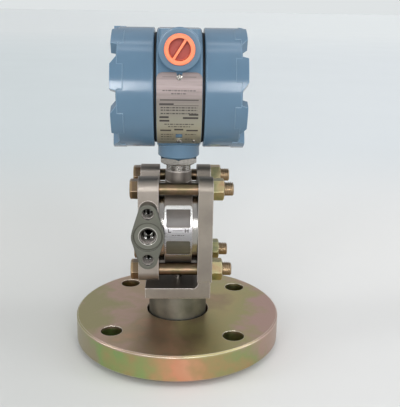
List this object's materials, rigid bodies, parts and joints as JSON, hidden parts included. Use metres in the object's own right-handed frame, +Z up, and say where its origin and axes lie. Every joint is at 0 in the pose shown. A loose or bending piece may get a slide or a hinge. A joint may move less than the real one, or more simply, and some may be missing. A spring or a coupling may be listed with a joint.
{
  "type": "differential pressure transmitter",
  "caption": "Flanged differential pressure transmitter: loose mounting flange on a diaphragm seal, bolted sensor module with a side port, and a round two-cover electronics housing.",
  "frame": {"origin": "centre of the gasket face that the transmitter stands on, on the axis of the seal", "axes": "+Z up along the seal and the sensor neck, +X along the sensor module and the housing towards the electronics side, -Y towards the nameplate, the conduit plug and the low side port"},
  "size_m": [0.1906, 0.1906, 0.2902],
  "materials": {
    "gasket_steel": "turned stainless steel",
    "flange_plating": "steel with yellow chromate plating, faintly iridescent",
    "cast_stainless": "machined stainless steel, matt",
    "bolt_plating": "steel bolts with yellow chromate plating",
    "blue_paint": "glossy grey blue paint on die cast aluminium",
    "nameplate_metal": null,
    "tag_metal": "bright aluminium sheet",
    "orange_plastic": "moulded orange polyethylene",
    "seal_rubber": "black nitrile rubber",
    "screw_steel": "small stainless screws",
    "block_plastic": "black moulded terminal block",
    "board_laminate": "green circuit board with its components",
    "diaphragm_steel": "thin rolled stainless sheet"
  },
  "bodies": {
    "process": {"seal_body": "gasket_steel", "process_diaphragm": "diaphragm_steel", "high_side_flange": "cast_stainless", "fill_plug": "screw_steel", "low_side_flange": "cast_stainless", "flange_bolts": "bolt_plating", "flange_nuts": "bolt_plating", "sensor_module": "cast_stainless", "high_cell_half": "diaphragm_steel", "low_cell_half": "diaphragm_steel", "sensing_diaphragm": "diaphragm_steel", "high_isolating_diaphragm": "diaphragm_steel", "low_isolating_diaphragm": "diaphragm_steel", "high_side_o_ring": "seal_rubber", "low_side_o_ring": "seal_rubber", "sensor_tag": "tag_metal", "sensor_header": "screw_steel", "neck_o_ring": "seal_rubber", "lock_nut": "screw_steel", "vent_valve_seat": "screw_steel"},
    "mounting_flange": {"mounting_flange": "flange_plating"},
    "vent_valve_stem": {"vent_valve_stem": "screw_steel"},
    "housing": {"housing": "blue_paint", "nameplate": "nameplate_metal", "upper_nameplate_screw": "screw_steel", "lower_nameplate_screw": "screw_steel", "nameplate_rivet": "screw_steel", "calibration_board": "board_laminate", "amplifier_board": "board_laminate", "board_posts": "screw_steel", "board_spacers": "screw_steel", "board_screws": "screw_steel", "terminal_block": "block_plastic", "terminal_screws": "screw_steel", "ground_screw": "screw_steel"},
    "left_cover_o_ring": {"left_cover_o_ring": "seal_rubber"},
    "left_cover": {"left_cover": "blue_paint"},
    "right_cover_o_ring": {"right_cover_o_ring": "seal_rubber"},
    "right_cover": {"right_cover": "blue_paint"},
    "conduit_plug": {"conduit_plug": "orange_plastic"},
    "zero_screw": {"zero_screw": "screw_steel"},
    "span_screw": {"span_screw": "screw_steel"}
  },
  "joints": [
    {"name": "mounting_flange_turn", "type": "hinge", "parent": "process", "child": "mounting_flange", "pos_m": [0, 0, 0.017], "axis": [0, 0, 1], "continuous": true},
    {"name": "housing_turn", "type": "hinge", "parent": "process", "child": "housing", "pos_m": [0, 0, 0.187], "axis": [0, 0, 1], "range_deg": [-90, 90]},
    {"name": "vent_valve_turn", "type": "hinge", "parent": "process", "child": "vent_valve_stem", "pos_m": [-0.0261, 0.0445, 0.1162], "axis": [0, 1, 0], "range_deg": [0, 540]},
    {"name": "left_cover_travel", "type": "slide", "parent": "housing", "child": "left_cover_o_ring", "axis": [-1, 0, 0], "range_m": [0, 0.0241]},
    {"name": "left_cover_turn", "type": "hinge", "parent": "left_cover_o_ring", "child": "left_cover", "pos_m": [-0.036, 0, 0.2376], "axis": [-1, 0, 0], "range_deg": [0, 4080]},
    {"name": "right_cover_travel", "type": "slide", "parent": "housing", "child": "right_cover_o_ring", "axis": [1, 0, 0], "range_m": [0, 0.0241]},
    {"name": "right_cover_turn", "type": "hinge", "parent": "right_cover_o_ring", "child": "right_cover", "pos_m": [0.036, 0, 0.2376], "axis": [1, 0, 0], "range_deg": [0, 4080]},
    {"name": "conduit_plug_travel", "type": "slide", "parent": "housing", "child": "conduit_plug", "axis": [0, -1, 0], "range_m": [0, 0.016]},
    {"name": "zero_screw_turn", "type": "hinge", "parent": "housing", "child": "zero_screw", "pos_m": [0.0095, -0.045, 0.2466], "axis": [0, -1, 0], "continuous": true},
    {"name": "span_screw_turn", "type": "hinge", "parent": "housing", "child": "span_screw", "pos_m": [0.0095, -0.045, 0.2286], "axis": [0, -1, 0], "continuous": true}
  ],
  "couplings": [
    {"joint": "left_cover_travel", "follows": "left_cover_turn", "m_per_rad": 0.00033688},
    {"joint": "right_cover_travel", "follows": "right_cover_turn", "m_per_rad": 0.00033688}
  ]
}
